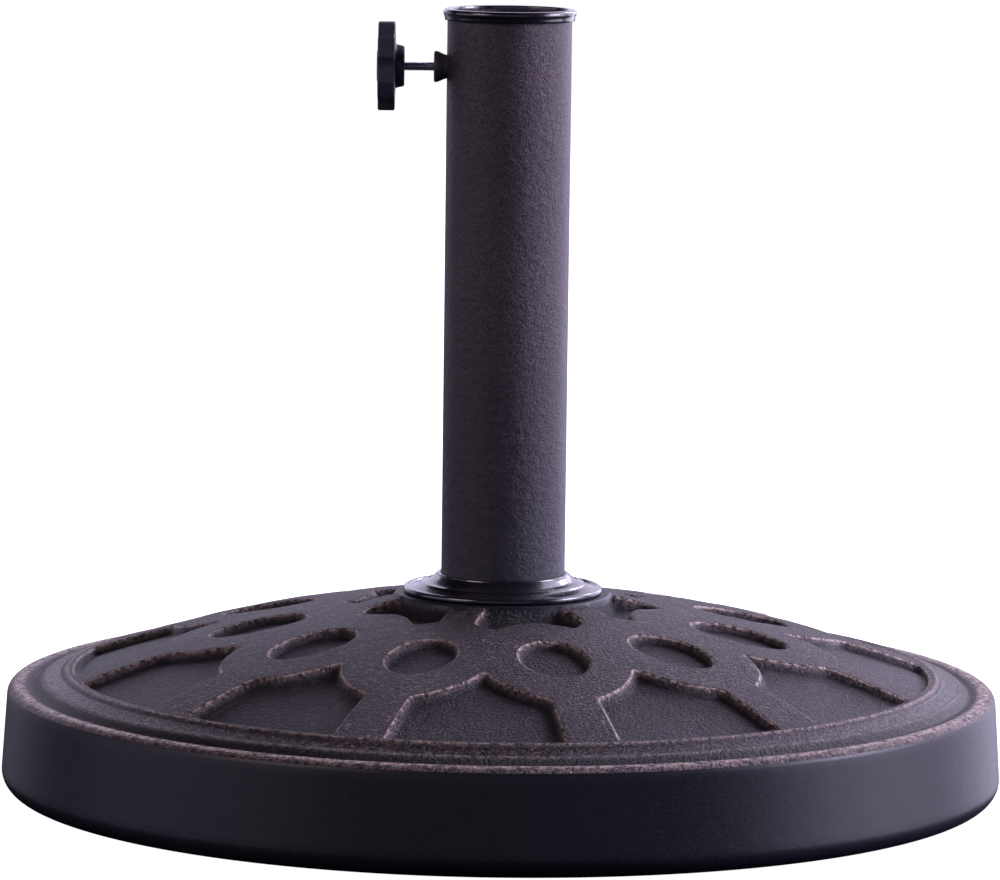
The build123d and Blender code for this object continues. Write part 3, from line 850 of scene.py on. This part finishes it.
def boss_paint():
    f = Finish("boss_paint")
    grit = f.noise(0.8, 3.0, 0.65)
    colour = f.blend(f.ramp(grit, 0.35, 0.75), (0.045, 0.04, 0.06), (0.095, 0.082, 0.105))
    return f.done(colour, f.ramp(grit, 0.3, 0.8, 0.34, 0.5), f.bump(grit, 0.15, 0.6), specular=0.6)


def steel(name, tint, size_mm, rough):
    f = Finish(name)
    streak = f.noise(size_mm, 3.0, 0.6, (0.25, 1.0, 1.0))
    colour = f.blend(f.ramp(streak, 0.3, 0.75), [c * 0.62 for c in tint], tint)
    roughness = f.ramp(streak, 0.3, 0.75, rough, rough + 0.16)
    return f.done(colour, roughness, f.bump(streak, 0.02, 0.4), metallic=1.0)


def rubber():
    f = Finish("foot_rubber_black")
    grain = f.noise(0.6, 4.0, 0.6)
    colour = f.blend(f.ramp(grain, 0.35, 0.75), (0.011, 0.011, 0.012), (0.026, 0.025, 0.026))
    return f.done(colour, f.ramp(grain, 0.3, 0.8, 0.6, 0.8), f.bump(grain, 0.12, 0.6), specular=0.35)


def nylon():
    f = Finish("tip_nylon")
    grain = f.noise(0.5, 3.0, 0.6)
    colour = f.blend(f.ramp(grain, 0.35, 0.75), (0.5, 0.49, 0.45), (0.62, 0.61, 0.57))
    return f.done(colour, f.ramp(grain, 0.3, 0.8, 0.4, 0.55), f.bump(grain, 0.03, 0.5), specular=0.5)


def paint(obj, material):
    """Put one material on a piece or a CAD node."""
    if not obj.data.materials:
        obj.data.materials.append(material)
    for index in range(len(obj.data.materials)):
        obj.data.materials[index] = material


def paint_casting(casting):
    """Relief finish on the top, smoother black on the wall, the underside and the collar's seat."""
    casting.data.materials.append(cast_bronze())
    casting.data.materials.append(wall_black())
    for face in casting.data.polygons:
        r = math.hypot(face.center.x, face.center.y)
        face.material_index = int(face.center.z < WALL_FINISH_Z * MM or r < SEAT_FINISH_R * MM)


def paint_all(pieces):
    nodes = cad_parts
    black = gloss_black()
    zinc = steel("zinc_plated", (0.55, 0.56, 0.58), 0.8, 0.3)
    paint_casting(pieces["casting"])
    paint(nodes["pole_tube"], tube_bronze())
    paint(pieces["collar"], black)
    paint(pieces["cap"], black)
    paint(pieces["boss"], boss_paint())
    paint(pieces["screw"], steel("screw_bright", (0.66, 0.72, 0.86), 0.5, 0.32))
    plastic = knob_plastic()
    paint(pieces["knob"], plastic)
    paint(nodes["knob_cap"], plastic)
    for name in ("end_plate", "plate_nut", "anchor_bolt", "spreader_washer", "spring_washer"):
        paint(nodes[name], zinc)
    pads = rubber()
    for index in range(6):
        paint(nodes[f"foot_{index + 1}"], pads)
    paint(nodes["clamp_tip"], nylon())


# ---- Studio --------------------------------------------------------------------------------------
def make_stage():
    mesh = bpy.data.meshes.new("floor")
    half = 40.0
    corners = [(-half, -half, 0), (half, -half, 0), (half, half, 0), (-half, half, 0)]
    mesh.from_pydata(corners, [], [(0, 1, 2, 3)])
    floor = bpy.data.objects.new("floor", mesh)
    bpy.context.scene.collection.objects.link(floor)
    floor.location.z = -0.0002
    f = Finish("floor_white")
    speck = f.noise(4.0, 2.0, 0.5)
    colour = f.blend(f.ramp(speck, 0.3, 0.7), (0.8, 0.8, 0.8), (0.82, 0.82, 0.82))
    f.shader.inputs["Emission Color"].default_value = (1.0, 1.0, 1.0, 1.0)
    f.shader.inputs["Emission Strength"].default_value = 1.0
    mesh.materials.append(f.done(colour, 0.9, specular=0.0))
    floor.visible_glossy = False
    floor.visible_diffuse = False
    floor.visible_shadow = False
    world = bpy.data.worlds.new("studio")
    world.use_nodes = True
    world.node_tree.nodes["Background"].inputs["Color"].default_value = (1.0, 1.0, 1.0, 1.0)
    world.node_tree.nodes["Background"].inputs["Strength"].default_value = 1.0
    world.cycles_visibility.diffuse = False
    world.cycles_visibility.glossy = False
    bpy.context.scene.world = world


def add_panel(name, place, aim, width, height, glow, tint):
    """Soft panel light, in metres, with a given brightness whatever its size."""
    light = bpy.data.lights.new(name, "AREA")
    light.shape = "RECTANGLE"
    light.size, light.size_y = width, height
    light.energy = glow * math.pi * width * height
    light.color = tint
    obj = bpy.data.objects.new(name, light)
    obj.location = place
    obj.rotation_euler = (Vector(aim) - Vector(place)).to_track_quat("-Z", "Y").to_euler()
    obj.visible_camera = False
    bpy.context.scene.collection.objects.link(obj)


def make_lights():
    violet = (0.8, 0.74, 1.0)
    aim = (0.0, 0.0, 0.12)
    add_panel("right_panel", (2.4, -0.1, 0.45), (0.0, -0.1, 0.15), 2.0, 2.2, 3.25, violet)
    add_panel("right_back_panel", (1.9, 2.2, 0.4), aim, 2.2, 2.0, 2.4, violet)
    add_panel("right_high_panel", (1.75, 1.4, 2.0), aim, 1.9, 1.6, 3.3, violet)
    add_panel("right_key", (2.3, -0.1, 1.1), aim, 0.9, 0.8, 19.0, violet)
    add_panel("right_glint", (1.45, 2.2, 1.65), aim, 0.7, 0.5, 10.0, violet)
    add_panel("back_panel", (0.0, 3.4, 0.95), (0.0, 0.0, 0.2), 4.2, 1.7, 1.15, violet)
    add_panel("left_back_panel", (-1.9, 2.2, 0.4), aim, 1.8, 1.8, 0.5, violet)
    add_panel("left_panel", (-2.6, -1.2, 0.45), (0.0, -1.2, 0.15), 3.8, 2.0, 0.72, violet)
    add_panel("left_high_panel", (-2.2, -1.5, 1.9), aim, 1.5, 1.2, 3.9, (0.96, 0.78, 0.84))
    add_panel("front_panel", (0.0, -3.9, 0.7), (0.0, 0.0, 0.15), 5.0, 2.4, 0.36, (0.76, 0.75, 1.0))


def make_camera():
    data = bpy.data.cameras.new("camera")
    data.sensor_width = 36.0
    data.lens = 236.06
    data.clip_end = 200.0
    camera = bpy.data.objects.new("camera", data)
    pitch, roll, yaw = 0.124, 0.0125, -0.0007
    forward = Vector((math.sin(yaw) * math.cos(pitch), math.cos(yaw) * math.cos(pitch), -math.sin(pitch)))
    right = Vector((math.cos(yaw), -math.sin(yaw), 0.0))
    up = right.cross(forward)
    right, up = right * math.cos(roll) + up * math.sin(roll), up * math.cos(roll) - right * math.sin(roll)
    turn = Matrix((right, up, -forward)).transposed().to_4x4()
    camera.matrix_world = Matrix.Translation((0.0, -2.889, 0.5183)) @ turn
    bpy.context.scene.collection.objects.link(camera)
    bpy.context.scene.camera = camera


pieces = {
    "casting": make_casting(),
    "collar": make_collar(),
    "cap": make_cap(),
    "boss": make_boss(),
    "screw": make_screw(),
    "knob": make_knob(),
}
paint_all(pieces)
make_stage()
make_lights()
make_camera()
bpy.context.scene.view_settings.view_transform = "Standard"
